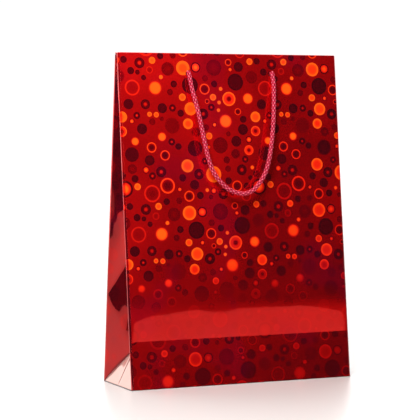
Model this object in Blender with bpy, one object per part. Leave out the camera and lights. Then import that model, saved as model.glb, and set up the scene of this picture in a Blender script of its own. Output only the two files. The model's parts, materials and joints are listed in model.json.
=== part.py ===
"""Paper gift bag with rope handles: one folded sheet of coated paper, card stiffeners and two ropes.

Frame: metres, +Z up, origin under the middle of the base. +X is to the right of the front
face, and the front face looks along -Y. The bag stands with its mouth nearly closed, as a
new bag does after it has been opened from flat: the two faces lean together and the side
gussets are folded inwards.

The sheet is cut along its creases into flat facets, because each facet turns on its own
crease. All creases lie on a thin skeleton that is set in from the outer faces by the depth
of the squared corner fold.
"""

from math import asin, atan2, cos, radians, sin, sqrt

import bmesh
import bpy
from mathutils import Matrix, Vector

# Driving dimensions, in metres and degrees.
WIDTH = 0.240
DEPTH = 0.080
HEIGHT = 0.330
PAPER = 0.00035
GAP = 0.0003
CORNER_FOLD = 0.0028
MOUTH_HALF_GAP = 0.0020
HEM_DEPTH = 0.038
TOP_BOARD = 0.0006
BASE_BOARD = 0.0008
BOTTOM_FLAP = 0.060
SIDE_BOTTOM_FLAP = 0.050
GLUE_FLAP = 0.014
HOLE_X = 0.046
HOLE_DROP = 0.0204
HOLE_RADIUS = 0.0028
CORD_RADIUS = 0.00225
CORD_OFF_FACE = 0.0028
END_BAR_RADIUS = 0.0016
END_BAR_LENGTH = 0.016

# Clearances at the creases, which leave each facet free to turn.
CREASE_INSET = 0.0007
MIDDLE_INSET = 0.0036
FOOT_INSET = 0.0012
PANEL_FOOT = 0.0006
GUSSET_HEM_START = 0.0105
TOP_BOARD_INSET = 0.003
TOP_BOARD_RISE = 0.002
HEM_INSET = 0.001
GLUE_FLAP_INSET = 0.001
GLUE_FLAP_FOOT = 0.004
BOTTOM_INSET = 0.0006
SIDE_FLAP_INSET = 0.0020
BASE_BOARD_INSET = 0.0028
BASE_BOARD_EASE = 0.0004
BACK_FLAP_SHARE = 0.98
DRILL_REACH = 0.010

# Derived sizes of the skeleton.
HALF_W = WIDTH / 2
HALF_D = DEPTH / 2 - CORNER_FOLD
LEAN = asin((HALF_D - MOUTH_HALF_GAP) / HEIGHT)
SKIN_INSIDE = CORNER_FOLD - PAPER
BOARD_OUTSIDE = SKIN_INSIDE - GAP
BOARD_INSIDE = BOARD_OUTSIDE - TOP_BOARD
HEM_OUTSIDE = BOARD_INSIDE - GAP
HEM_INSIDE = HEM_OUTSIDE - PAPER
HOLE_HEIGHT = HEIGHT - HOLE_DROP

# One rope from hole to hole, as (across, off the face, below the holes) of its middle line.
ROPE_ROUTE = (
    (-0.0460, 0.0028, 0.0000),
    (-0.0458, 0.0040, 0.0085),
    (-0.0446, 0.0053, 0.0180),
    (-0.0402, 0.0080, 0.0414),
    (-0.0366, 0.0098, 0.0663),
    (-0.0334, 0.0104, 0.0842),
    (-0.0289, 0.0108, 0.0982),
    (-0.0218, 0.0110, 0.1085),
    (-0.0115, 0.0112, 0.1172),
    (0.0027, 0.0114, 0.1212),
    (0.0150, 0.0112, 0.1170),
    (0.0258, 0.0110, 0.1048),
    (0.0316, 0.0108, 0.0927),
    (0.0360, 0.0104, 0.0766),
    (0.0392, 0.0096, 0.0600),
    (0.0420, 0.0080, 0.0430),
    (0.0444, 0.0058, 0.0240),
    (0.0456, 0.0042, 0.0110),
    (0.0460, 0.0028, 0.0000),
)
ROPE_STEP = 0.011


def clear_scene():
    for obj in list(bpy.data.objects):
        bpy.data.objects.remove(obj, do_unlink=True)


def surface(name, colour, roughness, metallic=0.0):
    """A Principled material."""
    made = bpy.data.materials.new(name)
    made.use_nodes = True
    shader = made.node_tree.nodes["Principled BSDF"]
    shader.inputs["Base Color"].default_value = (*colour, 1.0)
    shader.inputs["Roughness"].default_value = roughness
    shader.inputs["Metallic"].default_value = metallic
    made.diffuse_color = (*colour, 1.0)
    return made


def place(name, data, parent=None, matrix=None, material=None):
    """Puts new object data into the scene under its node's name."""
    obj = bpy.data.objects.new(name, data)
    bpy.context.scene.collection.objects.link(obj)
    obj.parent = parent
    if matrix is not None:
        obj.matrix_local = matrix
    if material:
        data.materials.append(material)
    return obj


def prism(outline, low, high):
    """A mesh made by lifting a flat outline in XY from height low to height high."""
    shape = bmesh.new()
    foot = [shape.verts.new((x, y, low)) for x, y in outline]
    base = shape.faces.new(foot)
    lifted = bmesh.ops.extrude_face_region(shape, geom=[base])["geom"]
    tops = [item for item in lifted if isinstance(item, bmesh.types.BMVert)]
    bmesh.ops.translate(shape, vec=(0, 0, high - low), verts=tops)
    bmesh.ops.recalc_face_normals(shape, faces=shape.faces)
    mesh = bpy.data.meshes.new("prism")
    shape.to_mesh(mesh)
    shape.free()
    return mesh


def rectangle(x0, x1, y0, y1):
    return [(x0, y0), (x1, y0), (x1, y1), (x0, y1)]


def turned(profile, length_axis="X", sides=24):
    """A closed round mesh: a profile of (along, radius) pairs turned about one axis."""
    shape = bmesh.new()
    points = [shape.verts.new((along, 0.0, radius)) for along, radius in profile]
    edges = [shape.edges.new(pair) for pair in zip(points, points[1:])]
    bmesh.ops.spin(
        shape,
        geom=points + edges,
        cent=(0, 0, 0),
        axis=(1, 0, 0),
        angle=radians(360),
        steps=sides,
        use_duplicate=False,
    )
    bmesh.ops.remove_doubles(shape, verts=shape.verts, dist=1e-6)
    bmesh.ops.recalc_face_normals(shape, faces=shape.faces)
    if length_axis == "Y":
        bmesh.ops.rotate(shape, matrix=Matrix.Rotation(radians(90), 3, "Z"), verts=shape.verts)
    mesh = bpy.data.meshes.new("turned")
    shape.to_mesh(mesh)
    shape.free()
    mesh.shade_smooth()
    mesh.set_sharp_from_angle(angle=radians(40))
    return mesh


def inset(outline, amounts):
    """The outline with each edge moved inwards by its own amount, as corner points."""
    moved = []
    count = len(outline)
    for i in range(count):
        start = Vector(outline[i])
        along = (Vector(outline[(i + 1) % count]) - start).normalized()
        inwards = Vector((-along.y, along.x))
        moved.append((start + inwards * amounts[i], along))
    corners = []
    for i in range(count):
        p, u = moved[i - 1]
        q, v = moved[i]
        t = (q - p).cross(v) / u.cross(v)
        corners.append(p + u * t)
    return corners


def crease_frame(hinge_start, hinge_end, tip):
    """A frame on a crease: X along it, Y in the facet towards its tip, Z square to the facet."""
    along = (hinge_end - hinge_start).normalized()
    reach = tip - hinge_start
    across = (reach - along * reach.dot(along)).normalized()
    frame = Matrix((along, across, along.cross(across))).transposed().to_4x4()
    frame.translation = hinge_start
    return frame


def crease_points(side, face):
    """The skeleton corners of one folded gusset half, at rest.

    side is -1 on the left and +1 on the right, face is -1 at the front and +1 at the back.
    The paper keeps its lengths: the base corner and the fold point are the gusset's half
    depth apart along the base, and the same fold point is HEIGHT - HALF_D below the middle
    of the gusset's top edge.
    """
    fold_z = HALF_D * (1 - sin(LEAN)) / cos(LEAN)
    fold_x = -HALF_W + sqrt(HALF_D**2 - fold_z**2)
    top_y = -HALF_D + HEIGHT * sin(LEAN)
    top_z = HEIGHT * cos(LEAN)
    reach_top = sqrt(HALF_D**2 - top_y**2)
    reach_fold = HEIGHT - HALF_D
    dx, dz = -HALF_W - fold_x, top_z - fold_z
    apart = sqrt(dx**2 + dz**2)
    along = (reach_fold**2 - reach_top**2 + apart**2) / (2 * apart)
    off = sqrt(reach_fold**2 - along**2)
    middle_x = fold_x + (along * dx + off * dz) / apart
    middle_z = fold_z + (along * dz - off * dx) / apart
    points = {
        "base": (-HALF_W, -HALF_D, 0.0),
        "top": (-HALF_W, top_y, top_z),
        "fold": (fold_x, 0.0, fold_z),
        "middle": (middle_x, 0.0, middle_z),
    }
    return {name: Vector((-side * x, -face * y, z)) for name, (x, y, z) in points.items()}


def facet(name, hinge_start, hinge_end, tip, insets, inner_side, material):
    """A triangle of paper on its crease, with its thickness on the bag's inner side."""
    frame = crease_frame(hinge_start, hinge_end, tip)
    to_plane = frame.inverted()
    outline = [(to_plane @ p).xy for p in (hinge_start, hinge_end, tip)]
    inner = PAPER if (to_plane @ inner_side).z > 0 else -PAPER
    mesh = prism(inset(outline, insets), min(0.0, inner), max(0.0, inner))
    return place(name, mesh, matrix=frame, material=material)


def smooth_line(route, step):
    """Points at an even step along a smooth curve through the route's points."""
    ends = [route[0] * 2 - route[1]] + route + [route[-1] * 2 - route[-2]]
    fine = [route[0]]
    for a, b, c, d in zip(ends, ends[1:], ends[2:], ends[3:]):
        for k in range(1, 17):
            t = k / 16
            curve = (
                b * 2
                + (c - a) * t
                + (a * 2 - b * 5 + c * 4 - d) * t**2
                + (b * 3 - a - c * 3 + d) * t**3
            )
            fine.append(curve / 2)
    lengths = [0.0]
    for p, q in zip(fine, fine[1:]):
        lengths.append(lengths[-1] + (q - p).length)
    count = round(lengths[-1] / step)
    even = []
    at = 0
    for k in range(count + 1):
        wanted = lengths[-1] * k / count
        while at < len(lengths) - 2 and lengths[at + 1] < wanted:
            at += 1
        part = (wanted - lengths[at]) / (lengths[at + 1] - lengths[at])
        even.append(fine[at].lerp(fine[at + 1], part))
    return even


def rope(name, points, parent, material):
    """A plain round tube through the points, with closed ends."""
    line = bpy.data.curves.new(name, "CURVE")
    line.dimensions = "3D"
    line.bevel_depth = CORD_RADIUS
    line.bevel_resolution = 2
    line.use_fill_caps = True
    spline = line.splines.new("POLY")
    spline.points.add(len(points) - 1)
    for knot, point in zip(spline.points, points):
        knot.co = (*point, 1.0)
    return place(name, line, parent=parent, material=material)


def bottom(foil, card):
    """The glued bottom: two long flaps, two side flaps inside them, and the loose board."""
    inner_y = HALF_D + SKIN_INSIDE - BOTTOM_INSET
    flap_z = [k * (PAPER + GAP) for k in range(3)]
    long_flap = [
        (-HALF_W, 0.0),
        (HALF_W, 0.0),
        (HALF_W - BOTTOM_FLAP, BOTTOM_FLAP),
        (-HALF_W + BOTTOM_FLAP, BOTTOM_FLAP),
    ]
    front = [(x, y - DEPTH / 2) for x, y in long_flap]
    back = [(x * BACK_FLAP_SHARE, inner_y - y) for x, y in reversed(long_flap)]
    mesh = prism(front, flap_z[0], flap_z[0] + PAPER)
    place("front_bottom_flap", mesh, material=foil)
    mesh = prism(back, flap_z[1], flap_z[1] + PAPER)
    place("back_bottom_flap", mesh, material=foil)
    for name, side in (("left_bottom_flap", -1), ("right_bottom_flap", 1)):
        edge = side * (HALF_W - SIDE_FLAP_INSET)
        ends = sorted((edge, edge - side * SIDE_BOTTOM_FLAP))
        outline = rectangle(*ends, -inner_y, inner_y)
        place(name, prism(outline, flap_z[2], flap_z[2] + PAPER), material=foil)
    board_x, board_y = HALF_W - BASE_BOARD_INSET, inner_y - BASE_BOARD_EASE
    board = rectangle(-board_x, board_x, -board_y, board_y)
    board_z = flap_z[2] + PAPER + GAP
    place("base_board", prism(board, board_z, board_z + BASE_BOARD), material=card)


def face_side(face, name, foil, card, cord, plastic):
    """One face of the bag, built on an empty that sits on the crease along its foot."""
    frame = place(f"{name}_crease", None)
    frame.location = (0, face * HALF_D, 0)
    frame.rotation_euler = (-LEAN, 0, radians(180) if face > 0 else 0)

    skin = [
        (-HALF_W, -GAP),
        (-HALF_W, -CORNER_FOLD),
        (HALF_W, -CORNER_FOLD),
        (HALF_W, -GAP),
        (HALF_W - PAPER, -GAP),
        (HALF_W - PAPER, -SKIN_INSIDE),
        (-HALF_W + PAPER, -SKIN_INSIDE),
        (-HALF_W + PAPER, -GAP),
    ]
    panel = place(f"{name}_panel", prism(skin, PANEL_FOOT, HEIGHT), frame, material=foil)
    edge = HALF_W - TOP_BOARD_INSET
    outline = rectangle(-edge, edge, -BOARD_OUTSIDE, -BOARD_INSIDE)
    board_mesh = prism(outline, HEIGHT - HEM_DEPTH + TOP_BOARD_RISE, HEIGHT - PAPER)
    board = place(f"{name}_top_board", board_mesh, frame, material=card)
    edge = HALF_W - HEM_INSET
    outline = rectangle(-edge, edge, -HEM_OUTSIDE, -HEM_INSIDE)
    hem = place(f"{name}_hem", prism(outline, HEIGHT - HEM_DEPTH, HEIGHT), frame, material=foil)

    reach, radius = DRILL_REACH, HOLE_RADIUS
    drill_profile = [(-reach, 0.0), (-reach, radius), (reach, radius), (reach, 0.0)]
    for x in (-HOLE_X, HOLE_X):
        at_hole = Matrix.Translation((x, 0, HOLE_HEIGHT))
        drill = place(f"{name}_drill", turned(drill_profile, "Y"), frame, at_hole)
        drill.hide_render = True
        drill.display_type = "WIRE"
        for layer in (panel, board, hem):
            cut = layer.modifiers.new("rope_hole", "BOOLEAN")
            cut.object = drill

        tag = "left" if x * -face < 0 else "right"
        tail = [(HEM_INSIDE, 0.0), (HEM_INSIDE, CORD_RADIUS), (CORNER_FOLD, CORD_RADIUS)]
        tail.append((CORNER_FOLD, 0.0))
        mesh = turned([(-along, radius) for along, radius in tail], "Y")
        place(f"{name}_{tag}_cord_tail", mesh, frame, at_hole, cord)

        half = END_BAR_LENGTH / 2
        arc = [radians(15 * k) for k in range(7)]
        bar = [(-half + END_BAR_RADIUS * (1 - cos(t)), END_BAR_RADIUS * sin(t)) for t in arc]
        bar += [(-along, radius) for along, radius in reversed(bar)]
        middle = HEM_INSIDE - GAP - END_BAR_RADIUS
        at_bar = Matrix.Translation((x, -middle, HOLE_HEIGHT))
        place(f"{name}_{tag}_cord_end", turned(bar), frame, at_bar, plastic)

    pivot = place(f"{name}_handle_pivot", None, frame)
    pivot.location = (0, -CORNER_FOLD - CORD_OFF_FACE, HOLE_HEIGHT)
    route = [Vector((x, CORD_OFF_FACE - off, -drop)) for x, off, drop in ROPE_ROUTE]
    rope(f"{name}_handle_cord", smooth_line(route, ROPE_STEP), pivot, cord)
    return frame


def gusset_half(side, face, name, foil):
    """The two facets of one gusset half, and the hem turned in behind the upper one."""
    at = crease_points(side, face)
    inner_side = Vector((0, face * HALF_D, HEIGHT / 2))
    edges = (CREASE_INSET, CREASE_INSET, CREASE_INSET)
    lower = (at["base"], at["top"], at["fold"])
    facet(f"{name}_lower", *lower, edges, inner_side, foil)
    edges = (CREASE_INSET, 0.0, MIDDLE_INSET)
    upper = (at["fold"], at["top"], at["middle"])
    facet(f"{name}_upper", *upper, edges, inner_side, foil)

    frame = crease_frame(*upper)
    to_plane = frame.inverted()
    corner, middle, fold = ((to_plane @ at[key]).xy for key in ("top", "middle", "fold"))
    across = (middle - corner).normalized()
    down = (fold - middle).normalized()
    near = corner + across * GUSSET_HEM_START
    far = corner + across * (HALF_D - MIDDLE_INSET - GAP)
    outline = [near, far, far + down * HEM_DEPTH, near + down * HEM_DEPTH]
    inwards = 1 if (to_plane @ inner_side).z > 0 else -1
    levels = sorted((inwards * (PAPER + GAP), inwards * (2 * PAPER + GAP)))
    place(f"{name}_hem", prism(outline, *levels), matrix=frame, material=foil)


def gusset_foot(side, name, foil):
    """The triangle under the gusset, hinged along the short edge of the base."""
    front = crease_points(side, -1)
    back = crease_points(side, 1)
    edges = (FOOT_INSET, CREASE_INSET, CREASE_INSET)
    inner_side = Vector((0, 0, HEIGHT / 2))
    facet(name, front["base"], back["base"], front["fold"], edges, inner_side, foil)


def build():
    clear_scene()
    foil = surface("red_foil_paper", (0.42, 0.012, 0.014), 0.22, 0.6)
    white = surface("white_paper_back", (0.86, 0.84, 0.82), 0.75)
    card = surface("grey_card", (0.45, 0.41, 0.36), 0.85)
    cord = surface("pink_red_rope", (0.72, 0.06, 0.10), 0.5)
    plastic = surface("pink_red_plastic", (0.62, 0.05, 0.08), 0.35)

    bottom(foil, card)
    for face, name in ((-1, "front"), (1, "back")):
        frame = face_side(face, name, foil, card, cord, plastic)
        if name == "back":
            inner = SKIN_INSIDE - GAP
            edge = -HALF_W + GLUE_FLAP_INSET
            outline = rectangle(edge, edge + GLUE_FLAP, -inner, -inner + PAPER)
            mesh = prism(outline, GLUE_FLAP_FOOT, HEIGHT - HEM_DEPTH - HEM_INSET)
            place("side_glue_flap", mesh, frame, material=white)
    for side, side_name in ((-1, "left"), (1, "right")):
        gusset_foot(side, f"{side_name}_gusset_foot", foil)
        for face, face_name in ((-1, "front"), (1, "back")):
            gusset_half(side, face, f"{side_name}_gusset_{face_name}", foil)


build()
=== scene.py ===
import json
import math

import bpy
import numpy as np
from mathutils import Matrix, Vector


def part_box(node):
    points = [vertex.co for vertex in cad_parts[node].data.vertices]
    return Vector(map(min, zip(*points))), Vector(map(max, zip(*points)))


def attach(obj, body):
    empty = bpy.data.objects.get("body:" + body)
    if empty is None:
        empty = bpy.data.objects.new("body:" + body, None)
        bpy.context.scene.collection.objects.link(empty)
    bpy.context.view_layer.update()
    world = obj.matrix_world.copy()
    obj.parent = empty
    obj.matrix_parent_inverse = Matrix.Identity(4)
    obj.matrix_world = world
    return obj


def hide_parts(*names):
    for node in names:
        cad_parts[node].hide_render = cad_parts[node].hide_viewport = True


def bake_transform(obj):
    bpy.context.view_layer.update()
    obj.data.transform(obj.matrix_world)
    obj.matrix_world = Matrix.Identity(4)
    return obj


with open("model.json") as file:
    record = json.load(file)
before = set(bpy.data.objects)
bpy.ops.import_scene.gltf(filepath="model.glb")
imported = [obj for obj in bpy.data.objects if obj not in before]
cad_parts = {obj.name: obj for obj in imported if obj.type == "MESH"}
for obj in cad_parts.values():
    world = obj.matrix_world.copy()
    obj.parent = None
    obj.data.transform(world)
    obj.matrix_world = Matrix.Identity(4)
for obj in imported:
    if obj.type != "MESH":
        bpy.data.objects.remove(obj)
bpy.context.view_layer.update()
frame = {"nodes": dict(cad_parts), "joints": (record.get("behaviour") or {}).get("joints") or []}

# Camera: a long lens that stands to the left of the bag's front, a little above its middle.
CAMERA_PLACE = (-0.7460, -1.6257, 0.2587)
CAMERA_TURN = math.radians(-24.08)
CAMERA_DIP = math.radians(2.797)
CAMERA_ROLL = math.radians(0.10)
lens = bpy.data.cameras.new("camera")
lens.sensor_width = 36.0
lens.lens = 152.06
lens.clip_start = 0.05
lens.clip_end = 60.0
camera = bpy.data.objects.new("camera", lens)
camera.location = CAMERA_PLACE
camera.rotation_euler = (math.pi / 2 - CAMERA_DIP, CAMERA_ROLL, CAMERA_TURN)
bpy.context.scene.collection.objects.link(camera)
bpy.context.scene.camera = camera
bpy.context.scene.view_settings.view_transform = "Standard"


# The bag sheet: one piece of thick paper, printed and covered outside with a red bubble-pattern
# foil, white inside. It is creased and glued into two faces, two side gussets and a bottom, and
# its mouth edge is turned in over a card strip. Here it is made face by face; each piece but the
# gusset halves goes on its body.
HALF_W = 0.120
HEIGHT = 0.330
PAPER = 0.00035
CORNER = 0.0028
HEM = 0.038
HEM_INSIDE = 0.0009
FOLD_RADIUS = (CORNER - HEM_INSIDE) / 2
SCORE = 0.047
HOLE_X = 0.046
HOLE_HEIGHT = HEIGHT - 0.0204
HOLE_RADIUS = 0.0027

joints = {joint["name"]: joint for joint in frame["joints"]}


class Face:
    """One face's flat frame: its foot crease, the way up the face, and the way out of it. The seed
    sets the slight unevenness of its paper."""

    def __init__(self, side, name, seed):
        self.side, self.name, self.seed = side, name, seed
        edge = joints[f"left_{name}_edge_crease"]
        up = np.array(edge["axis"], float)
        self.up = up * np.sign(up[2])
        self.foot = np.array([0.0, edge["pos_m"][1], 0.0])
        self.out = np.cross(self.up, (1.0, 0.0, 0.0)) * -side
        self.out *= np.sign(self.out[1] * side)

    def at(self, x, out, height):
        """Points at x across, a distance out of the crease plane, and a height up the face."""
        across = np.multiply.outer(x, (1.0, 0.0, 0.0))
        upward = np.multiply.outer(height, self.up)
        return self.foot + across + np.multiply.outer(out, self.out) + upward


FACES = {"front": Face(-1, "front", 20), "back": Face(1, "back", 50)}


def rise(x, low, high):
    """0 below low, 1 above high, and a smooth cubic step between."""
    t = np.clip((x - low) / (high - low), 0.0, 1.0)
    return t * t * (3.0 - 2.0 * t)


def ripple(seed, u, v, waves=7, shortest=0.05, longest=0.16):
    """A smooth uneven height from -1 to 1: a few sine waves in seeded directions, added up."""
    draw = np.random.default_rng(seed)
    total = np.zeros(np.broadcast(u, v).shape)
    for _ in range(waves):
        turn = draw.uniform(0, np.pi)
        length = draw.uniform(shortest, longest)
        shift = draw.uniform(0, 6.3)
        total += np.sin((u * np.cos(turn) + v * np.sin(turn)) * 2 * np.pi / length + shift)
    return total / waves


# The bubble pattern repeats in a square tile. Bubbles are packed large ones first, and none touch.
TILE = 0.144
BUBBLE_SIZES = ((0.0087, 13), (0.0073, 8), (0.0055, 31), (0.0037, 40), (0.0027, 22))
BUBBLE_GAP = 0.0007
# Kinds: share of all, then the brightness of heart, body and rim, the heart's size, edge softness.
BUBBLE_KINDS = (
    (0.34, 0.14, 0.12, 0.10, 0.60, 0.11),
    (0.08, 0.60, 0.15, 0.10, 0.40, 0.11),
    (0.13, 0.80, 0.93, 1.00, 0.75, 0.10),
    (0.07, 1.00, 0.88, 0.62, 0.60, 0.50),
    (0.08, 0.90, 0.66, 0.12, 0.50, 0.11),
    (0.08, 0.20, 0.44, 0.80, 0.62, 0.11),
    (0.03, 0.30, 0.70, 0.86, 0.40, 0.11),
    (0.06, 0.36, 0.40, 0.62, 0.50, 0.12),
    (0.13, 0.29, 0.26, 0.29, 0.50, 0.16),
)


def pack_bubbles(seed):
    """Centres, radii and looks of the tile's bubbles: random places, kept where they miss the rest."""
    draw = np.random.default_rng(seed)
    kept = np.zeros((0, 3))
    for radius, count in BUBBLE_SIZES:
        wanted = len(kept) + count
        for _ in range(4000):
            if len(kept) == wanted:
                break
            grown = radius * draw.uniform(0.93, 1.05)
            place = draw.uniform(0, TILE, 2)
            apart = (kept[:, :2] - place + TILE / 2) % TILE - TILE / 2
            if (np.hypot(*apart.T) > kept[:, 2] + grown + BUBBLE_GAP).all():
                kept = np.vstack([kept, [*place, grown]])
    kinds = np.array(BUBBLE_KINDS)
    chosen = draw.choice(len(kinds), len(kept), p=kinds[:, 0] / kinds[:, 0].sum())
    looks = kinds[chosen, 1:] + draw.uniform(-0.04, 0.04, (len(kept), 5)) * (1, 1, 1, 1, 0)
    return kept, np.clip(looks, 0.02, 1.0)


BUBBLES, BUBBLE_LOOKS = pack_bubbles(152)
SLOTS = "abc"


def mark_bubbles(mesh, centres):
    """Gives each face the three bubbles whose rims come nearest to it, as face attributes."""
    apart = BUBBLES[None, :, :2] - centres[:, None, :]
    apart = (apart + TILE / 2) % TILE - TILE / 2
    rims = np.hypot(apart[..., 0], apart[..., 1]) - BUBBLES[None, :, 2]
    nearest = np.argsort(rims, axis=1)[:, : len(SLOTS)]
    rows = np.arange(len(centres))
    for k, slot in enumerate(SLOTS):
        pick = nearest[:, k]
        where = centres + apart[rows, pick]
        ring = np.column_stack([where, BUBBLES[pick, 2], BUBBLE_LOOKS[pick, 4]])
        look = BUBBLE_LOOKS[pick, :4]
        for name, values in ((f"ring_{slot}", ring), (f"look_{slot}", look)):
            made = mesh.attributes.new(name, "FLOAT_COLOR", "FACE")
            made.data.foreach_set("color", values.astype(np.float32).ravel())


def grid_quads(rows, columns):
    """The four corner numbers of each cell of a grid of points."""
    first = (np.arange(rows - 1)[:, None] * columns + np.arange(columns - 1)).ravel()
    return np.column_stack([first, first + 1, first + columns + 1, first + columns])


def sheet(name, points, pattern, light, quads, flip):
    """A sheet of paper: its foil side from points, its white side a paper's thickness behind.

    pattern is each point's place on the flat sheet, which the bubble pattern follows. light is
    painted light: (how strongly the pattern lights up there, the level of the foil where it does
    not, how far its red print is left out, which also paints a pale highlight, and how much
    painted shade darkens it), each one number or one for every point.
    """
    light = np.column_stack([np.broadcast_to(part, len(points)) for part in light])
    used, numbers = np.unique(quads, return_inverse=True)
    quads = numbers.reshape(quads.shape)
    quads = quads[:, ::-1] if flip else quads
    points, pattern, light = points[used], pattern[used], light[used]
    mesh = bpy.data.meshes.new(name)
    mesh.from_pydata(points, [], quads.tolist())
    flat = mesh.uv_layers.new(name="sheet")
    flat.data.foreach_set("uv", pattern[quads.ravel()].astype(np.float32).ravel())
    mark_bubbles(mesh, pattern[quads].mean(axis=1))
    lights = mesh.attributes.new("light", "FLOAT_COLOR", "POINT")
    lights.data.foreach_set("color", light.astype(np.float32).ravel())
    mesh.shade_smooth()
    mesh.materials.append(foil)
    mesh.materials.append(white_paper)
    piece = bpy.data.objects.new(name, mesh)
    bpy.context.scene.collection.objects.link(piece)
    wall = piece.modifiers.new("paper", "SOLIDIFY")
    wall.thickness = PAPER
    wall.offset = -1.0
    wall.material_offset = 1
    wall.material_offset_rim = 1
    return piece


class Wire:
    """A shader socket that takes part in plain expressions; each operator adds its Math node."""

    def __init__(self, tree, socket=None):
        self.tree, self.socket = tree, socket

    def node(self, kind, settings=None, sockets=None, output=0):
        """Adds a node: its settings and ramp stops first, then its sockets' values or links."""
        made = self.tree.nodes.new(kind)
        for key, value in (settings or {}).items():
            if key == "stops":
                ramp = made.color_ramp.elements
                while len(ramp) < len(value):
                    ramp.new(0.5)
                for stop, (place, colour) in zip(ramp, value):
                    stop.position, stop.color = place, (*colour, 1.0)
            else:
                setattr(made, key, value)
        for key, value in (sockets or {}).items():
            if isinstance(value, Wire):
                self.tree.links.new(value.socket, made.inputs[key])
            else:
                made.inputs[key].default_value = value
        return Wire(self.tree, made.outputs[output] if made.outputs else None)

    def output(self, number):
        """Another output of this socket's node."""
        return Wire(self.tree, self.socket.node.outputs[number])

    def math(self, operation, *values):
        return self.node("ShaderNodeMath", {"operation": operation}, dict(enumerate(values)))

    def __add__(self, other):
        return self.math("ADD", self, other)

    def __mul__(self, other):
        return self.math("MULTIPLY", self, other)

    def __sub__(self, other):
        return self.math("SUBTRACT", self, other)

    def __rsub__(self, other):
        return self.math("SUBTRACT", other, self)

    def __truediv__(self, other):
        return self.math("DIVIDE", self, other)

    __radd__, __rmul__ = __add__, __mul__

    def step(self, low, high):
        """0 below low, 1 above high, smooth between; the two may be wires."""
        ends = {0: self, 1: low, 2: high}
        return self.node("ShaderNodeMapRange", {"interpolation_type": "SMOOTHSTEP"}, ends)

    def blend(self, a, b):
        """The number a where this is 0 and b where it is 1."""
        return self.node("ShaderNodeMix", {}, {"Factor": self, 2: a, 3: b})

    def tint(self, a, b):
        """The colour a where this is 0 and b where it is 1."""
        pair = {6: a if isinstance(a, Wire) else (*a, 1.0), 7: b if isinstance(b, Wire) else (*b, 1.0)}
        return self.node("ShaderNodeMix", {"data_type": "RGBA"}, {0: self, **pair}, 2)


def new_material(name, swatch):
    """An empty material, as (material, wire on its tree); swatch is its plain viewport colour."""
    made = bpy.data.materials.new(name)
    made.use_nodes = True
    made.node_tree.nodes.clear()
    made.diffuse_color = (*swatch, 1.0)
    return made, Wire(made.node_tree)


def finish_material(wire, shader):
    wire.node("ShaderNodeOutputMaterial", {}, {"Surface": shader})


# The foil's matt colour at each level, from a dark bubble to a bright heart. Ground is the level
# between the bubbles.
FOIL_LEVELS = (
    (0.00, (0.020, 0.0030, 0.0055)),
    (0.14, (0.060, 0.0018, 0.0060)),
    (0.28, (0.150, 0.0012, 0.0055)),
    (0.42, (0.340, 0.0012, 0.0035)),
    (0.62, (0.700, 0.0040, 0.0050)),
    (0.80, (1.000, 0.0200, 0.0050)),
    (0.92, (1.000, 0.0600, 0.0060)),
    (1.00, (1.000, 0.1150, 0.0070)),
)
GROUND = 0.42


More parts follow.
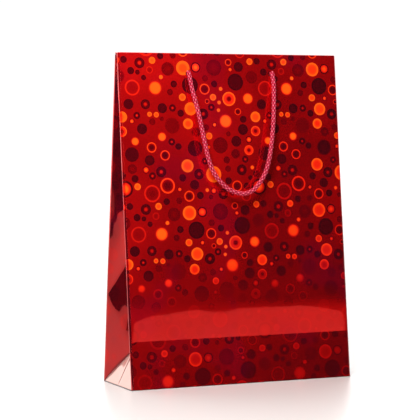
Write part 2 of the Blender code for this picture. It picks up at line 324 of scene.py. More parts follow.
def foil_material():
    """Red mirror foil under a hologram: a tinted mirror mixed with a matt glow.

    The glow's level starts as the ground's, with a slow drift and a fine grain. Inside each of the
    three bubbles that a face carries it becomes the bubble's heart, body or rim, by how far out the
    point lies as a share of the bubble's radius. Bright levels mirror less than dark ones.
    """
    made, wire = new_material("red_bubble_foil", (0.42, 0.012, 0.014))
    flat = wire.node("ShaderNodeUVMap", {"uv_map": "sheet"})
    two_d = {"noise_dimensions": "2D"}
    drift = wire.node("ShaderNodeTexNoise", two_d, {"Vector": flat, "Scale": 11.0, "Detail": 1.0})
    grain = wire.node("ShaderNodeTexNoise", two_d, {"Vector": flat, "Scale": 420.0, "Detail": 2.0})
    level = GROUND + (drift - 0.5) * 0.26 + (grain - 0.5) * 0.05
    for slot in SLOTS:
        ring = {"attribute_name": f"ring_{slot}"}
        look = {"attribute_name": f"look_{slot}"}
        place = wire.node("ShaderNodeAttribute", ring)
        softness = wire.node("ShaderNodeAttribute", ring, output=3)
        parts = wire.node("ShaderNodeSeparateXYZ", {}, {0: place})
        radius = parts.output(2)
        flatten = {0: place, 1: (1.0, 1.0, 0.0)}
        centre = wire.node("ShaderNodeVectorMath", {"operation": "MULTIPLY"}, flatten)
        reach = wire.node("ShaderNodeVectorMath", {"operation": "DISTANCE"}, {0: flat, 1: centre}, 1)
        t = reach / radius
        shades = wire.node("ShaderNodeAttribute", look)
        heart_size = wire.node("ShaderNodeAttribute", look, output=3)
        heart = wire.node("ShaderNodeSeparateXYZ", {}, {0: shades})
        body = heart.output(1)
        rim = heart.output(2)
        inner = t.step(heart_size * 0.40, heart_size * 1.30).blend(heart, body)
        whole = t.step(0.66, 0.82).blend(inner, rim)
        inside = 1.0 - t.step(1.0 - softness, 1.0)
        level = inside.blend(level, whole)
    # The light attribute is painted light: how strongly the pattern shows, the foil's level between
    # the bubbles, how unprinted and pale the foil is, partly a painted highlight, and painted shade.
    lights = {"attribute_name": "light"}
    light = wire.node("ShaderNodeSeparateXYZ", {}, {0: wire.node("ShaderNodeAttribute", lights)})
    painted_shade = wire.node("ShaderNodeAttribute", lights, output=3)
    calm = light.output(1)
    unprinted_and_highlight = light.output(2)
    level = calm + (level - GROUND) * light
    glow = wire.node("ShaderNodeValToRGB", {"stops": FOIL_LEVELS}, {0: level})
    cool = wire.node("ShaderNodeTexNoise", two_d, {"Vector": flat, "Scale": 16.0, "Detail": 2.0})
    glow = (cool.step(0.50, 0.72) * 0.10).tint(glow, (0.12, 0.0, 0.07))
    # Unprinted foil turns the glow pale pink, partly a painted highlight.
    glow = unprinted_and_highlight.tint(glow, (0.36, 0.20, 0.165))
    # Painted shade turns the glow near black.
    glow = painted_shade.tint(glow, (0.012, 0.004, 0.004))
    matt = wire.node("ShaderNodeBsdfPrincipled", {}, {
        "Base Color": glow, "Roughness": 0.55, "Specular IOR Level": 0.0})
    skin = wire.node("ShaderNodeTexNoise", {}, {
        "Vector": wire.node("ShaderNodeTexCoord", {}, output=3), "Scale": 55.0, "Detail": 1.0})
    dent = wire.node("ShaderNodeBump", {}, {"Strength": 0.05, "Distance": 0.002, "Height": skin})
    shade = level.step(0.05, 0.45)
    mirror_colour = shade.tint((0.80, 0.06, 0.055), (1.0, 0.042, 0.032))
    # The mirror tint turns pale on unprinted foil, partly a painted highlight, and near black under
    # painted shade.
    mirror_colour = painted_shade.tint(unprinted_and_highlight.tint(mirror_colour, (0.78, 0.46, 0.40)), (0.02, 0.006, 0.006))
    mirror = wire.node("ShaderNodeBsdfPrincipled", {}, {
        "Base Color": mirror_colour, "Roughness": 0.045, "Metallic": 1.0, "Normal": dent,
        "Coat Weight": 0.5, "Coat Roughness": 0.03})
    share = level.step(0.55, 0.85).blend(0.50, 0.16)
    both = wire.node("ShaderNodeMixShader", {}, {0: share, 1: matt, 2: mirror})
    finish_material(wire, both)
    return made


def white_paper_material():
    """Uncoated white paper: a fine fibre grain in its colour, roughness and relief."""
    made, wire = new_material("white_paper", (0.86, 0.84, 0.82))
    place = wire.node("ShaderNodeTexCoord", {}, output=3)
    fibre = wire.node("ShaderNodeTexNoise", {}, {"Vector": place, "Scale": 900.0, "Detail": 3.0})
    cloud = wire.node("ShaderNodeTexNoise", {}, {"Vector": place, "Scale": 60.0, "Detail": 2.0})
    colour = (fibre * 0.6 + cloud * 0.4).tint((0.74, 0.72, 0.70), (0.88, 0.87, 0.85))
    relief = wire.node("ShaderNodeBump", {}, {"Strength": 0.25, "Distance": 0.0002, "Height": fibre})
    finish_material(wire, wire.node("ShaderNodeBsdfPrincipled", {}, {
        "Base Color": colour, "Roughness": 0.7 + fibre * 0.2, "Normal": relief}))
    return made


foil = foil_material()
white_paper = white_paper_material()


# Front and back faces of the bag sheet, foil outside and white inside: a squared double corner
# fold at each side, a score line across above the base, and a mouth edge folded over a card strip
# and down inside as a hem. The sheet's glued edge lies inside the back face.
def corner_line():
    """Half of a face's cross-section, from its middle to its side crease, as (x, out) points.

    Straight runs join at the corner fold's two creases, and each crease is a small curve.
    """
    runs = np.array([
        (0.0, CORNER),
        (HALF_W - 0.00175, CORNER),
        (HALF_W - 0.00015, 0.00115),
        (HALF_W, 0.0),
    ])
    line = [runs[:1]]
    bend = 0.00038
    t = np.linspace(0, 1, 5)[:, None]
    for before, crease, after in zip(runs, runs[1:], runs[2:]):
        a = crease + (before - crease) / np.linalg.norm(before - crease) * bend
        b = crease + (after - crease) / np.linalg.norm(after - crease) * bend
        line.append((1 - t) ** 2 * a + 2 * t * (1 - t) * crease + t**2 * b)
    return np.vstack(line + [runs[-1:]])


def spread(low, high, step, close=()):
    """Even places from low to high, with closer ones around the (middle, reach, step) places."""
    places = np.linspace(low, high, round((high - low) / step) + 1)
    for middle, reach, fine in close:
        kept = places[np.abs(places - middle) > reach]
        added = np.linspace(middle - reach, middle + reach, round(2 * reach / fine) + 1)
        places = np.unique(np.concatenate([kept, np.clip(added, low, high)]).round(7))
    return places


FOOT_SLOPE = -0.030
STEEP_SLOPE = 0.066
STEEP_END = 0.0735
STEEP_FADE = (-0.002, 0.016)


def face_swell(seed, x, height):
    """How far a face stands out of flat: its slope up the face, added up from the foot.

    The slope is slightly inwards up to the score line and steeper outwards just above it, and it
    fades where that run ends, along a wavy line that drops near the sides. An even return leads
    back to flat at the mouth. Slight ripples are added, and all of it shrinks near the sides. The
    sums are made for twelve ends of the steep run, and each point reads between the nearest two.
    """
    fine = np.linspace(0, HEIGHT, 1321)
    wave = 0.0011 * ripple(seed, x, 0.0, 5, 0.03, 0.09)
    end = STEEP_END - 0.013 * np.abs(x / HALF_W) ** 5 + wave
    ends = np.linspace(end.min(), end.max(), 12)
    tables = []
    for stop in ends:
        fade = 1 - rise(fine, stop + STEEP_FADE[0], stop + STEEP_FADE[1])
        slope = np.where(fine < SCORE, FOOT_SLOPE, STEEP_SLOPE * fade)
        out = np.cumsum(slope) * (fine[1] - fine[0])
        above = np.clip((fine - SCORE) / (HEIGHT - SCORE), 0, 1)
        tables.append(out - out[-1] * above)
    tables = np.array(tables)
    span = max(ends[-1] - ends[0], 1e-9)
    row = np.clip((end - ends[0]) / span * (len(ends) - 1), 0, len(ends) - 1.001)
    col = np.clip(height / fine[1], 0, len(fine) - 1.001)
    i, j = row.astype(int), col.astype(int)
    f, g = row - i, col - j
    out = (tables[i, j] * (1 - f) + tables[i + 1, j] * f) * (1 - g)
    out += (tables[i, j + 1] * (1 - f) + tables[i + 1, j + 1] * f) * g
    still = rise(height, 0.0, 0.03) * (1 - rise(height, HEIGHT - 0.05, HEIGHT - 0.012))
    still = still * (1 - rise(np.abs(x), HALF_W - 0.02, HALF_W))
    near_side = rise(np.abs(x), HALF_W - 0.006, HALF_W)
    return out * (1 - 0.75 * near_side) + 0.00016 * still * ripple(seed + 5, x, height)


def face_light(x, height, corner_painted_light):
    """Painted light on a face, seen from outside. The pattern is painted weaker to the right and low
    down, weakest in the steep run above the score line, and somewhat weaker below that line. The
    foil between the bubbles is painted brightest at the top left, falling off to the bottom right;
    the band above the score line carries a painted highlight that grows to the right; the corner
    strip is painted darker, on the front lighter higher up; and a thin painted shadow runs along
    the foot."""
    # Painted falloff: the pattern shows less to the right and low down.
    slant = 1.0 - 0.25 * rise(x, -0.10, 0.12) * rise(-height, -0.30, -0.08)
    # The pattern is painted weaker in the steep run above the score line, and below that line.
    steep = rise(height, SCORE - 0.001, SCORE + 0.001) * (1 - rise(height, 0.070, 0.130))
    spark = slant * (1 - 0.90 * steep) * (1 - 0.42 * (height < SCORE))
    # Painted light: the foil between the bubbles is brighter at the top left, darker to the bottom
    # right.
    calm = 0.465 + 0.14 * (height / HEIGHT - 0.5) - 0.055 * (x / HALF_W)
    # Painted highlight on the band above the score line, brighter to the right.
    band_painted_highlight = rise(height, SCORE - 0.001, SCORE + 0.001) * (1 - rise(height, 0.068, 0.086))
    calm = calm + band_painted_highlight * (0.085 + 0.15 * rise(x, -HALF_W, HALF_W)) - 0.02 * (steep - band_painted_highlight)
    # Painted shade on the corner strip, lighter higher up on the front face.
    corner = rise(np.abs(x), HALF_W - 0.0022, HALF_W - 0.0016)
    calm = calm * (1 - corner) + corner * (0.24 + corner_painted_light * rise(height, 0.12, 0.22))
    # The last value paints a thin shadow along the face's foot.
    return spark * (1 - 0.3 * corner), calm, 0.0, 1.0 * (height < 0.0009)


# Where the back face's print starts on the flat sheet, along it.
BACK_PRINT = 0.51


def face_sheet(face):
    """A face on a grid: across it the corner line, up it the height, over the mouth a half circle,
    and down inside again to the hem's raw edge."""
    half = corner_line()
    at_holes = ((-HOLE_X, 0.004, 0.0007), (HOLE_X, 0.004, 0.0007))
    across = spread(-half[1, 0], half[1, 0], 0.0024, at_holes)
    right = half[2:]
    x = np.concatenate([-right[::-1, 0], across, right[:, 0]])
    out = np.concatenate([right[::-1, 1], np.full(len(across), CORNER), right[:, 1]])
    along = np.concatenate([[0], np.cumsum(np.hypot(np.diff(x), np.diff(out)))])
    along -= along[-1] / 2

    top = HEIGHT - FOLD_RADIUS
    at_hole = (HOLE_HEIGHT, 0.004, 0.0007)
    up = spread(0.0004, top, 0.0024, ((0.0, 0.0030, 0.0005), (SCORE, 0.002, 0.0004), at_hole))
    turn = np.radians(np.arange(22.5, 180, 22.5))
    down = spread(HEIGHT - HEM, top, 0.0030, (at_hole,))[::-1]
    heights = np.concatenate([up, top + FOLD_RADIUS * np.sin(turn), down])
    over = np.concatenate([np.zeros(len(up)), (1 - np.cos(turn)) / 2, np.ones(len(down))])
    run = np.concatenate([up, top + FOLD_RADIUS * turn, top + FOLD_RADIUS * np.pi + (top - down)])

    h, w = heights[:, None], over[:, None]
    inner_x = np.clip(x, -HALF_W + 0.0016, HALF_W - 0.0016)
    px = x * (1 - w) + inner_x * w
    swell = face_swell(face.seed, x[None, :], np.minimum(h, top)) * (out / CORNER)
    pout = np.where(w > 0.999, HEM_INSIDE, out * (1 - w) + HEM_INSIDE * w + swell)
    ph = np.broadcast_to(h, px.shape)
    printed = along[None, :] * -face.side + BACK_PRINT * (face.side > 0)
    pattern = np.stack(np.broadcast_arrays(printed, run[:, None]), axis=-1)

    # The two holes: cells inside them go, and the points left on their edge move onto the circle.
    quads = grid_quads(len(h), len(x))
    flat = np.column_stack([px.ravel(), ph.ravel()])
    for hole in ((-HOLE_X, HOLE_HEIGHT), (HOLE_X, HOLE_HEIGHT)):
        reach = np.hypot(*(flat - hole).T)
        gone = (reach[quads] < HOLE_RADIUS).sum(axis=1) >= 2
        edge = np.intersect1d(quads[gone], quads[~gone])
        flat[edge] = hole + (flat[edge] - hole) * (HOLE_RADIUS / reach[edge])[:, None]
        quads = quads[~gone]
    points = face.at(flat[:, 0], pout.ravel(), flat[:, 1])
    # Only the front face's corner strip gets painted light that grows up the face.
    light = face_light(flat[:, 0] * -face.side, flat[:, 1], 0.26 if face.side < 0 else 0.0)
    piece = sheet(f"{face.name}_sheet", points, pattern.reshape(-1, 2), light, quads, face.side > 0)
    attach(piece, f"{face.name}_panel")
    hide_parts(f"{face.name}_panel", f"{face.name}_hem")
    return piece


def glue_flap(face):
    """The sheet's glued edge: a narrow upright strip behind the back face that follows its swell."""
    low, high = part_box("side_glue_flap")
    x = np.linspace(low[0], HALF_W - 0.0022, 9)[None, :]
    height = np.linspace(0.004, high[2] - 0.002, 141)[:, None]
    x, height = np.broadcast_arrays(x, height)
    out = CORNER - PAPER - 0.00006 + face_swell(face.seed, x, height)
    points = face.at(x, out, height).reshape(-1, 3)
    quads = grid_quads(*x.shape)
    piece = sheet("glue_flap_sheet", points, points[:, ::2], (0.0, 0.4, 0.0, 0.0), quads, True)
    piece.data.materials[0] = white_paper
    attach(piece, "back_panel")
    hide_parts("side_glue_flap")


for face in FACES.values():
    face_sheet(face)
glue_flap(FACES["back"])


# Side gussets: folds of the bag sheet, foil outside and white inside. Each half runs from a face's
# side crease to the middle crease, which is pushed in. Low down a slanting crease lets the base
# stand square, and the paper bends softly along it.
CREASE_GAP = 0.00004
BEND = 0.016
BLEND_REACH = 0.003
DENT_SLOPE = 0.080
DENT_FOOT = 0.089
DENT_END = 0.178


def unit(way):
    return way / np.linalg.norm(way)


def gusset_points(side, face):
    """The half gusset's skeleton: base corner, top corner, fold point and middle of the mouth.

    The first three are the joints' own points. The last lies in the plane y = 0, where its
    distances along the paper from the top corner and from the fold point are both right.
    """
    tag = "left" if side < 0 else "right"
    base = np.array([side * HALF_W, face.foot[1], 0.0])
    top = base + face.up * HEIGHT
    fold = np.array(joints[f"{tag}_{face.name}_slant_crease"]["pos_m"], float)
    depth = abs(face.foot[1])
    reach_top, reach_fold = math.sqrt(depth**2 - top[1] ** 2), HEIGHT - depth
    gap = np.array([top[0] - fold[0], top[2] - fold[2]])
    apart = np.hypot(*gap)
    along = (reach_fold**2 - reach_top**2 + apart**2) / (2 * apart)
    off = math.sqrt(reach_fold**2 - along**2)
    ahead = gap / apart
    square = np.array([ahead[1], -ahead[0]]) * -side
    x, z = np.array([fold[0], fold[2]]) + ahead * along + square * off
    return base, top, fold, np.array([x, 0.0, z])


def gusset_relief(seed, q, height, depth):
    """How far the half gusset stands out of its planes, q across from the side crease and height up.

    Slow and fine ripples fade out towards the creases. A dent slopes in evenly between two levels
    that part from the side crease on, and comes back above them. A short score mark crosses the
    outer edge, and the paper rolls out a little just above the slant.
    """
    calm = rise(q, 0, 0.008) * (1 - rise(q, depth - 0.010, depth)) * rise(height - q, 0, 0.018)
    waves = 0.0008 * ripple(seed, q, height, 6, 0.04, 0.13)
    waves = waves + 0.00007 * ripple(seed + 1, q, height, 6, 0.012, 0.03)
    waves = waves * calm * (1 - rise(height, 0.24, 0.29))
    low, high = DENT_FOOT - 0.050 * q / depth, DENT_FOOT + 0.062 * q / depth
    dent = DENT_SLOPE * np.clip(height - low, 0, high - low) * (1 - rise(height, high, DENT_END))
    dent = dent * (1 - rise(q, 0.76 * depth, 0.98 * depth))
    mark = 0.00025 * np.exp(-np.abs(height - SCORE) / 0.0008)
    mark = mark * (1 - rise(q, 0.010, 0.016)) * rise(q, 0, 0.002)
    roll = 0.0005 * np.clip(1 - (height - q) / (0.0010 + 0.0075 * q / depth), 0, 1) ** 2
    roll = roll * rise(q, 0, 0.006) * (1 - rise(q, depth - 0.003, depth))
    return waves - dent - mark + roll


def gusset_half(side, face, seed):
    """A half gusset on a grid of (across from the side crease, up from the slant): two planes that
    meet on the slanting crease, joined by a soft bend, then over the mouth and down as a hem.

    A point q across and a height up starts on the lower facet's plane. Past the crease it turns
    on by its distance past it, and that distance grows with its square inside the bend.
    """
    tag = "left" if side < 0 else "right"
    base, top, fold, middle = gusset_points(side, face)
    depth = abs(face.foot[1])
    low_way = (fold - base - face.up * depth) / depth
    turn_way = (middle - top - low_way * depth) / depth
    inner = unit(np.cross(top - fold, middle - fold))
    inner *= np.sign(inner[1] * face.side)
    outside = unit(np.cross(face.up, low_way))
    outside *= side * np.sign(outside[0])

    def surface(q, height):
        """Points of the outer side, and the direction into the bag there."""
        crease = depth * (HEIGHT - height) / (HEIGHT - depth)
        width = 0.85 * np.minimum(np.minimum(crease, depth - crease), BEND) + 1e-6
        past = q - crease
        bent = np.where(past > width, past, (past + width) ** 2 / (4 * width))
        bent = np.where(past < -width, 0.0, bent)
        flat = base + height[..., None] * face.up
        flat = flat + q[..., None] * low_way + bent[..., None] * turn_way
        turned = rise(past, -width, width)[..., None]
        inwards = inner * turned - outside * (1 - turned)
        inwards = inwards / np.linalg.norm(inwards, axis=-1, keepdims=True)
        return flat + gusset_relief(seed, q, height, depth)[..., None] * outside, inwards

    across = spread(0.0012, depth - 0.0012, 0.0017)
    across = np.concatenate([[0], across, [depth - CREASE_GAP]])
    share = np.concatenate([np.arange(0, 0.0140, 0.0014), spread(0.0160, 1.0, 0.0072)])
    q = np.broadcast_to(across, (len(share), len(across)))
    height = q + share[:, None] * (HEIGHT - q)
    points, _ = surface(q, height)

    # Over the mouth on a half circle, and down inside, clear of the face's own hem near the crease.
    radius = 0.0004
    turn = np.radians(np.arange(30, 181, 30))[:, None]
    stack = 0.00075 + 0.00025 * np.minimum(1, across / 0.012)
    edge, inwards = surface(across, np.full(len(across), HEIGHT))
    over = edge + inwards * (stack * (1 - np.cos(turn)) / 2)[..., None]
    over = over + face.up * (radius * np.sin(turn))[..., None]
    downs = spread(0.002, HEM, 0.004)[:, None]
    under, inwards = surface(*np.broadcast_arrays(across, HEIGHT - downs))
    under = under + inwards * stack[:, None]
    start = int(np.searchsorted(across, 0.0016))
    for rows in (over, under):
        rows[:, :start] = rows[:, start : start + 1]
    points = np.concatenate([points, over, under])

    wide = len(across)
    run = np.concatenate([
        height,
        np.broadcast_to(HEIGHT + radius * turn, (len(turn), wide)),
        np.broadcast_to(HEIGHT + 0.0013 + downs, (len(downs), wide)),
    ])
    around = HALF_W + across if face.side < 0 else HALF_W + 2 * depth - across
    pattern = np.stack(np.broadcast_arrays(side * around[None, :], run), axis=-1)
    # Painted shade: a dark strip along the slanting crease, widest midway across.
    strip = 0.0014 + 0.0026 * np.sin(np.pi * across / depth)
    painted_shade = 0.62 * (1 - rise(run - across, 0.75 * strip, 1.2 * strip))
    # The gusset foil is painted darker than the faces, with a much weaker pattern.
    light = (0.22, 0.25, 0.0, painted_shade.ravel())
    name = f"{tag}_gusset_{face.name}"
    piece = sheet(f"{name}_sheet", points.reshape(-1, 3), pattern.reshape(-1, 2), light,
                  grid_quads(*points.shape[:2]), side * face.side > 0)

    # A direction square to the slanting crease, BLEND_REACH long, and the points that far to either
    # side of the fold point are worked out here, but nothing uses them.
    slant = unit(top - fold)
    middle_way = unit(middle - fold - slant * ((middle - fold) @ slant))
    base_way = unit(base - fold - slant * ((base - fold) @ slant))
    way = unit(middle_way - base_way) * BLEND_REACH
    fold - way
    fold + way
    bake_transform(piece)
    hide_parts(f"{name}_lower", f"{name}_upper", f"{name}_hem")


for side in (-1, 1):
    for number, face in enumerate(FACES.values()):
        gusset_half(side, face, 60 + 7 * number + 3 * side)


# Gusset feet: the triangle of the bag sheet between the two slants, hinged on the base's short
# edge. Its foil carries no red print and mirrors pale, and its pale colour is partly a painted
# highlight; painted shade runs up its middle fold and along its foot.
def gusset_foot(side):
    """A triangle on a grid: across the base edge, and up to the fold point, with a faint fold that
    dents it by an exponential of the distance from its middle."""
    tag = "left" if side < 0 else "right"
    base, _, fold, _ = gusset_points(side, FACES["front"])
    depth = abs(base[1])
    across = spread(-1.0, 1.0, 0.06, ((0.0, 0.06, 0.012),))
    up = np.concatenate([[0.0, 0.012, 0.024, 0.036, 0.05], np.linspace(0.08, 1.0, 24)])[:, None]
    y = across * depth * (1 - up)
    line = np.stack([np.full(y.shape, base[0]), y, np.zeros(y.shape)], axis=-1)
    rise_way = fold - np.array([base[0], 0.0, 0.0])
    points = line + up[..., None] * rise_way
    outwards = unit(np.cross((0.0, 1.0, 0.0), rise_way))
    outwards *= side * np.sign(outwards[0])
    crease = np.exp(-np.abs(y) / 0.0006) * rise(up, 0.0, 0.1) * (1 - rise(up, 0.80, 0.95))
    slack = 0.0004 * ripple(5 + side, y, up * depth, 4, 0.02, 0.05)
    slack = slack * np.sin(np.pi * up) * (1 - across**2)
    points += (slack - 0.0004 * crease)[..., None] * outwards
    # Painted shade up the middle fold and in a thin line along the foot.
    painted_shade = np.maximum(rise(crease, 0.2, 0.7), 1 - rise(up * depth, 0.0006, 0.0016))
    # No pattern, a low level, and fully unprinted foil, whose pale colour is partly a painted
    # highlight.
    light = (0.0, 0.05, 1.0, painted_shade.ravel())
    pattern = np.stack([side * (HALF_W + depth + y), np.broadcast_to(up * depth, y.shape)], axis=-1)
    piece = sheet(f"{tag}_foot_sheet", points.reshape(-1, 3), pattern.reshape(-1, 2), light,
                  grid_quads(*y.shape), side < 0)
    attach(piece, f"{tag}_gusset_foot")
    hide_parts(f"{tag}_gusset_foot")


for side in (-1, 1):
    gusset_foot(side)


# Bottom: the bag sheet's lower edge is cut and folded into two long flaps with slanting ends, glued
# over two side flaps. Each flap is flat and shows its foil underneath.
def bottom_flap(node, slanted):
    """A flap on a grid over its own box, its ends drawn in at 45 degrees where it is slanted."""
    low, high = (np.array(corner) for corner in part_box(node))
    ahead = 1 if node.startswith("front") else -1
    u, v = np.linspace(-1, 1, 81)[None, :], np.linspace(0, 1, 21)[:, None]
    y = (low[1] if ahead > 0 else high[1]) + ahead * v * (high[1] - low[1])
    half = (high[0] - low[0]) / 2 - (v * (high[1] - low[1]) if slanted else 0.0 * v)
    x = (low[0] + high[0]) / 2 + u * half
    x, y = np.broadcast_arrays(x, y)
    points = np.stack([x, y, np.full(x.shape, low[2])], axis=-1).reshape(-1, 3)
    pattern = points[:, :2] * (1, -1) + (0.01, -0.05)
    light = (0.8, 0.42, 0.0, 0.0)
    piece = sheet(f"{node}_sheet", points, pattern, light, grid_quads(*x.shape), ahead > 0)
    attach(piece, "base")
    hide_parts(node)


for node in ("front_bottom_flap", "back_bottom_flap"):
    bottom_flap(node, True)
for node in ("left_bottom_flap", "right_bottom_flap"):
    bottom_flap(node, False)


# Card: a loose board on the bottom and a strip behind each hem, cut from grey recycled board. The
# strips are held by the folded mouth edge, and the rope holes go through them.
def card_material():
    """Grey board: mottled pulp with dark and light flecks, rough and slightly uneven."""
    made, wire = new_material("grey_board", (0.45, 0.41, 0.36))
    place = wire.node("ShaderNodeTexCoord", {}, output=3)
    pulp = wire.node("ShaderNodeTexNoise", {}, {"Vector": place, "Scale": 140.0, "Detail": 5.0})
    flecks = wire.node("ShaderNodeTexVoronoi", {}, {"Vector": place, "Scale": 420.0})
    colour = pulp.step(0.25, 0.75).tint((0.33, 0.30, 0.26), (0.50, 0.46, 0.41))
    colour = (1.0 - flecks.step(0.05, 0.16)).tint(colour, (0.17, 0.15, 0.13))
    relief = wire.node("ShaderNodeBump", {}, {"Strength": 0.4, "Distance": 0.0002, "Height": pulp})
    finish_material(wire, wire.node("ShaderNodeBsdfPrincipled", {}, {
        "Base Color": colour, "Roughness": 0.78 + pulp * 0.2, "Normal": relief}))
    return made


def refinish(node, material):
    """A CAD piece keeps its mesh and takes a better material."""
    obj = frame["nodes"][node]
    for place in obj.material_slots:
        place.material = material


card = card_material()
for node in ("base_board", "front_top_board", "back_top_board"):
    refinish(node, card)


# Rope ends: a small bar moulded in pink-red plastic on each end of a rope. It rests behind the hem
# and stops the rope from pulling out.
def bar_material():
    """Moulded plastic, pink-red, with a faint orange-peel surface."""
    made, wire = new_material("moulded_bar", (0.62, 0.05, 0.08))
    place = wire.node("ShaderNodeTexCoord", {}, output=3)
    cloud = wire.node("ShaderNodeTexNoise", {}, {"Vector": place, "Scale": 300.0, "Detail": 2.0})
    relief = wire.node("ShaderNodeBump", {}, {"Strength": 0.15, "Distance": 0.0003, "Height": cloud})
    finish_material(wire, wire.node("ShaderNodeBsdfPrincipled", {}, {
        "Base Color": cloud.tint((0.50, 0.02, 0.04), (0.62, 0.05, 0.08)),
        "Roughness": 0.28 + cloud * 0.15, "Normal": relief}))
    return made


bar = bar_material()
for face_name in FACES:
    for tag in ("left", "right"):
        refinish(f"{face_name}_{tag}_cord_end", bar)


# Ropes: soft braided cord of eight bundles of shiny fibre, one on each face. It comes out of a
# hole, hangs in a loop a little clear of the foil, and goes back in at the other hole.
ROPE_RADIUS = 0.00225
ROPE_ROUTE = (
    (-0.0460, 0.0028, 0.0000),
    (-0.0458, 0.0040, 0.0085),
    (-0.0446, 0.0053, 0.0180),
    (-0.0402, 0.0080, 0.0414),
    (-0.0366, 0.0098, 0.0663),
    (-0.0334, 0.0104, 0.0842),
    (-0.0289, 0.0108, 0.0982),
    (-0.0218, 0.0110, 0.1085),
    (-0.0115, 0.0112, 0.1172),
    (0.0027, 0.0114, 0.1212),
    (0.0150, 0.0112, 0.1170),
    (0.0258, 0.0110, 0.1048),
    (0.0316, 0.0108, 0.0927),
    (0.0360, 0.0104, 0.0766),
    (0.0392, 0.0096, 0.0600),
    (0.0420, 0.0080, 0.0430),
    (0.0444, 0.0058, 0.0240),
    (0.0456, 0.0042, 0.0110),
    (0.0460, 0.0028, 0.0000),
)
ROPE_ENTRY = ((0.0, -0.0020, -0.0006), (0.0, -0.0006, -0.0008), (0.0, 0.0011, -0.0004))
ROPE_OFF_FACE = 0.0028
ROPE_STEP = 0.00075
BRAID_TURN = 0.0215
BUNDLES = 4
BUNDLE_PLACE = ROPE_RADIUS - 0.00072
BUNDLE_WIDE = 0.00090
BUNDLE_THICK = 0.00048
WEAVE = 0.00026
CORE_RADIUS = 0.0011
RING = np.linspace(0, 2 * np.pi, 9)[:-1]


def smooth_route(route, step):
    """Even steps along a smooth curve through the route's points (a Catmull-Rom curve)."""
    ends = np.vstack([2 * route[0] - route[1], route, 2 * route[-1] - route[-2]])
    a, b, c, d = (ends[k : len(ends) - 3 + k, None, :] for k in range(4))
    t = np.linspace(0, 1, 24, endpoint=False)[None, :, None]
    square, cube = 2 * a - 5 * b + 4 * c - d, 3 * b - a - 3 * c + d
    curve = (2 * b + (c - a) * t + square * t**2 + cube * t**3) / 2
    fine = np.vstack([curve.reshape(-1, 3), route[-1:]])
    run = np.concatenate([[0], np.cumsum(np.linalg.norm(np.diff(fine, axis=0), axis=1))])
    even = np.linspace(0, run[-1], round(run[-1] / step) + 1)
    return even, np.column_stack([np.interp(even, run, fine[:, k]) for k in range(3)])


def carried_frames(line):
    """Two square directions at each point of a line, carried along it without twist."""
    ahead = np.gradient(line, axis=0)
    ahead /= np.linalg.norm(ahead, axis=1)[:, None]
    side = np.empty_like(line)
    now = np.cross(ahead[0], (1.0, 0.0, 0.0))
    for k, way in enumerate(ahead):
        now = now - way * (now @ way)
        now = now / np.linalg.norm(now)
        side[k] = now
    return ahead, side, np.cross(ahead, side)


def rope_material():
    """Shiny pink-red fibre: fine threads along each bundle, with painted shade between the bundles
    and a painted pale pink highlight on their crowns.
    """
    made, wire = new_material("braided_fibre", (0.72, 0.06, 0.10))
    flat = wire.node("ShaderNodeUVMap", {"uv_map": "bundle"})
    stretch = wire.node("ShaderNodeMapping", {}, {"Vector": flat, "Scale": (60.0, 14.0, 1.0)})
    threads = wire.node("ShaderNodeTexNoise", {"noise_dimensions": "2D"}, {
        "Vector": stretch, "Scale": 1.0, "Detail": 3.0})
    high = wire.node("ShaderNodeAttribute", {"attribute_name": "height"}, output=2)
    colour = threads.step(0.3, 0.7).tint((0.42, 0.008, 0.030), (0.66, 0.035, 0.085))
    # Painted shade: near black low on each bundle, where the bundles meet.
    colour = high.step(0.40, 0.78).tint((0.15, 0.001, 0.008), colour)
    # Painted highlight: pale pink on each bundle's crown.
    colour = high.step(0.86, 1.0).tint(colour, (0.90, 0.22, 0.30))
    relief = wire.node("ShaderNodeBump", {}, {"Strength": 0.7, "Distance": 0.00025, "Height": threads})
    finish_material(wire, wire.node("ShaderNodeBsdfPrincipled", {}, {
        "Base Color": colour, "Roughness": 0.36 + threads * 0.25, "Specular IOR Level": 0.14,
        "Normal": relief}))
    return made


fibre = rope_material()


def tube(line, wide_way, wide, thick_way, thick):
    """A tube round a line: rings of eight points on an ellipse, as (points, quads, end caps)."""
    ring = RING[None, :, None]
    points = line[:, None] + wide_way[:, None] * (wide * np.cos(ring))
    points = points + thick_way[:, None] * (thick * np.sin(ring))
    row = np.arange(len(line) - 1)[:, None] * len(RING)
    now, after = np.arange(len(RING))[None, :], (np.arange(len(RING))[None, :] + 1) % len(RING)
    above = row + len(RING)
    quads = np.stack([row + now, row + after, above + after, above + now], axis=-1).reshape(-1, 4)
    first = np.arange(len(RING))
    last = first + (len(line) - 1) * len(RING)
    return points.reshape(-1, 3), quads, np.stack([first[::-1], last])


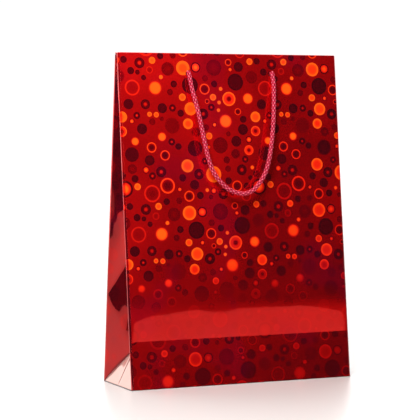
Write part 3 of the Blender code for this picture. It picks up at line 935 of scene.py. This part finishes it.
def rope(face):
    """Eight bundles wound round the route, four each way, over a plain core. A bundle's distance
    from the middle rises and falls with a cosine, so that it passes over and under the others."""
    loop = np.array(ROPE_ROUTE)
    entry, leave = (np.array(ROPE_ENTRY) + (x, 0, 0) for x in (loop[0, 0], loop[-1, 0]))
    route = np.vstack([entry, loop[1:-1], leave[::-1]])
    centre = face.at(route[:, 0] * -face.side, CORNER + route[:, 1], HOLE_HEIGHT - route[:, 2])
    run, line = smooth_route(centre, ROPE_STEP)
    _, side, other = carried_frames(line)

    tubes, marks, heights = [], [], []
    count = len(line) * len(RING)
    around = np.broadcast_to(RING / (2 * np.pi), (len(line), len(RING)))
    for hand in (1, -1):
        weave = WEAVE * hand * np.cos(8 * np.pi * run / BRAID_TURN)
        for k in range(BUNDLES):
            angle = hand * 2 * np.pi * run / BRAID_TURN + k * 2 * np.pi / BUNDLES
            outward = side * np.cos(angle)[:, None] + other * np.sin(angle)[:, None]
            middle = line + outward * (BUNDLE_PLACE + weave)[:, None]
            ahead = np.gradient(middle, axis=0)
            flatwise = np.cross(ahead / np.linalg.norm(ahead, axis=1)[:, None], outward)
            flatwise /= np.linalg.norm(flatwise, axis=1)[:, None]
            tubes.append(tube(middle, flatwise, BUNDLE_WIDE, outward, BUNDLE_THICK))
            along = np.broadcast_to(run[:, None] + 0.137 * (k + 4 * (hand > 0)), around.shape)
            marks.append(np.stack([along, around], axis=-1).reshape(-1, 2))
            # How high each point sits on its bundle, read by the fibre for painted shade between
            # bundles and a painted highlight on top.
            crown = 0.48 + 0.30 * np.sin(RING)[None, :] + weave[:, None] / 0.0011
            heights.append(np.clip(crown, 0, 1).ravel())
    tubes.append(tube(line, side, CORE_RADIUS, other, CORE_RADIUS))
    marks.append(np.zeros((count, 2)))
    heights.append(np.zeros(count))

    points = np.vstack([part[0] for part in tubes])
    quads = np.vstack([part[1] + count * k for k, part in enumerate(tubes)])
    caps = np.vstack([part[2] + count * k for k, part in enumerate(tubes)])
    mesh = bpy.data.meshes.new(f"{face.name}_rope")
    mesh.from_pydata(points, [], quads.tolist() + caps.tolist())
    corner = np.empty(len(mesh.loops), np.int32)
    mesh.loops.foreach_get("vertex_index", corner)
    flat = mesh.uv_layers.new(name="bundle")
    flat.data.foreach_set("uv", np.vstack(marks)[corner].astype(np.float32).ravel())
    height = mesh.attributes.new("height", "FLOAT", "POINT")
    height.data.foreach_set("value", np.concatenate(heights).astype(np.float32))
    mesh.shade_smooth()
    mesh.materials.append(fibre)
    piece = bpy.data.objects.new(f"{face.name}_rope", mesh)
    bpy.context.scene.collection.objects.link(piece)

    pivot = face.at(0.0, CORNER + ROPE_OFF_FACE, HOLE_HEIGHT)
    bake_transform(piece)
    tails = (f"{face.name}_{tag}_cord_tail" for tag in ("left", "right"))
    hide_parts(f"{face.name}_handle_cord", *tails)
    tuple(face.at(-HOLE_X * -face.side, CORNER, HOLE_HEIGHT))


for face in FACES.values():
    rope(face)


# Stage: a pale table whose left edge lies out of sight, a white surround behind the bag, a darker
# room in front of it, and soft lamps to the left.
def floor_material():
    """Pale, nearly smooth board, with a faint slow unevenness in its colour and sheen."""
    made, wire = new_material("pale_floor", (0.8, 0.79, 0.77))
    place = wire.node("ShaderNodeTexCoord", {}, output=3)
    cloud = wire.node("ShaderNodeTexNoise", {}, {"Vector": place, "Scale": 3.0, "Detail": 2.0})
    finish_material(wire, wire.node("ShaderNodeBsdfPrincipled", {}, {
        "Base Color": cloud.tint((0.74, 0.725, 0.70), (0.76, 0.745, 0.72)),
        "Roughness": 0.34 + cloud * 0.03}))
    return made


FLOOR_X = (-1.05, 12.0)
FLOOR_Y = (-5.0, 14.0)
corners = [(FLOOR_X[i], FLOOR_Y[j], 0.0) for i, j in ((0, 0), (1, 0), (1, 1), (0, 1))]
mesh = bpy.data.meshes.new("floor")
mesh.from_pydata(corners, [], [(0, 1, 2, 3)])
mesh.materials.append(floor_material())
floor = bpy.data.objects.new("floor", mesh)
bpy.context.scene.collection.objects.link(floor)

world = bpy.data.worlds.new("studio")
bpy.context.scene.world = world
world.use_nodes = True
world.node_tree.nodes.clear()
air = Wire(world.node_tree)
way = air.node("ShaderNodeTexCoord", {})
parts = air.node("ShaderNodeSeparateXYZ", {}, {0: way})
behind = parts.output(1)
above = parts.output(2)
seen = air.node("ShaderNodeLightPath", {})
strength = seen.blend(0.03 + behind.step(0.25, 0.7) * 2.2 + above.step(0.55, 0.8) * 0.65, 1.05)
back = air.node("ShaderNodeBackground", {}, {0: (1.0, 1.0, 1.0, 1.0), 1: strength})
air.node("ShaderNodeOutputWorld", {}, {"Surface": back})


def lamp(name, place, aim, size, power, colour=(1.0, 1.0, 1.0)):
    """A square soft lamp at a place, turned to face its aim."""
    light = bpy.data.lights.new(name, "AREA")
    light.shape, light.size, light.size_y = "RECTANGLE", size[0], size[1]
    light.energy, light.color = power, colour
    obj = bpy.data.objects.new(name, light)
    obj.location = place
    way = np.array(aim) - np.array(place)
    flat = math.hypot(way[0], way[1])
    obj.rotation_euler = (math.atan2(flat, -way[2]), 0.0, math.atan2(-way[0], way[1]))
    bpy.context.scene.collection.objects.link(obj)


lamp("key", (-0.42, -0.55, 0.80), (0.0, 0.0, 0.20), (0.30, 0.30), 9.5)
lamp("strip", (-1.55, -1.75, 0.45), (0.0, 0.0, 0.2), (0.06, 0.9), 1.8)
